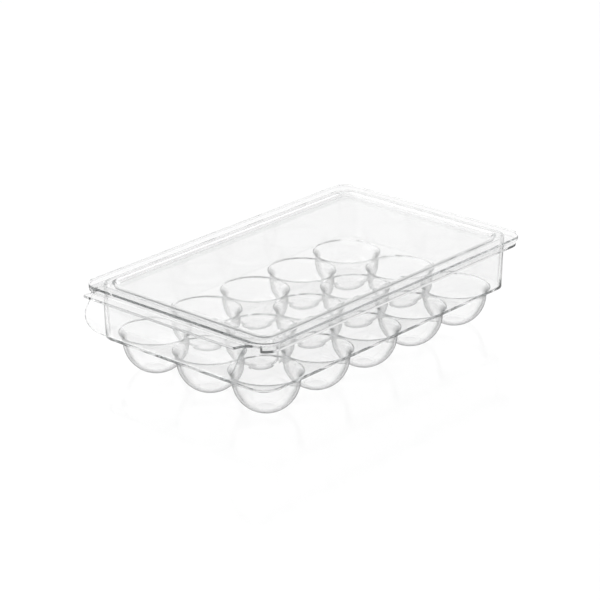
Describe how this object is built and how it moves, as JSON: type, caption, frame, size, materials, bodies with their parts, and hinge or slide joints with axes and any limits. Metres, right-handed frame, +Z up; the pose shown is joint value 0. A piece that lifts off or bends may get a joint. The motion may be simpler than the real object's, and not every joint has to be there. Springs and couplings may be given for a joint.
{
  "type": "egg holder tray",
  "caption": "Clear lidded egg tray: round cups hanging below a box-shaped tray with a rim, a curved pull handle at one end, and a flat lift-off lid.",
  "frame": {"origin": "on the supporting surface, under the middle of the whole part's box", "axes": "+Z up; -Y is the front, where the pull handle is; +X to the right seen from the front; the cups' long rows run along Y"},
  "size_m": [0.1676, 0.2872, 0.0653],
  "materials": {
    "clear_tray": "crystal clear injection-moulded plastic, polished",
    "clear_lid": "crystal clear injection-moulded plastic, polished"
  },
  "bodies": {
    "tray": {"corner_back_left": "clear_tray", "corner_back_right": "clear_tray", "corner_front_left": "clear_tray", "corner_front_right": "clear_tray", "egg_cup_row1_col1": "clear_tray", "egg_cup_row1_col2": "clear_tray", "egg_cup_row1_col3": "clear_tray", "egg_cup_row2_col1": "clear_tray", "egg_cup_row2_col2": "clear_tray", "egg_cup_row2_col3": "clear_tray", "egg_cup_row3_col1": "clear_tray", "egg_cup_row3_col2": "clear_tray", "egg_cup_row3_col3": "clear_tray", "egg_cup_row4_col1": "clear_tray", "egg_cup_row4_col2": "clear_tray", "egg_cup_row4_col3": "clear_tray", "egg_cup_row5_col1": "clear_tray", "egg_cup_row5_col2": "clear_tray", "egg_cup_row5_col3": "clear_tray", "pull_apron": "clear_tray", "pull_lip": "clear_tray", "rim_back": "clear_tray", "rim_front": "clear_tray", "rim_left": "clear_tray", "rim_right": "clear_tray", "tray_floor": "clear_tray", "wall_back": "clear_tray", "wall_front": "clear_tray", "wall_left": "clear_tray", "wall_right": "clear_tray"},
    "lid": {"lid_border_back": "clear_lid", "lid_border_front": "clear_lid", "lid_border_left": "clear_lid", "lid_border_right": "clear_lid", "lid_panel": "clear_lid"}
  },
  "joints": [
    {"name": "lid_lift", "type": "slide", "parent": "tray", "child": "lid", "axis": [0, 0, 1], "range_m": [0, 0.08]}
  ]
}
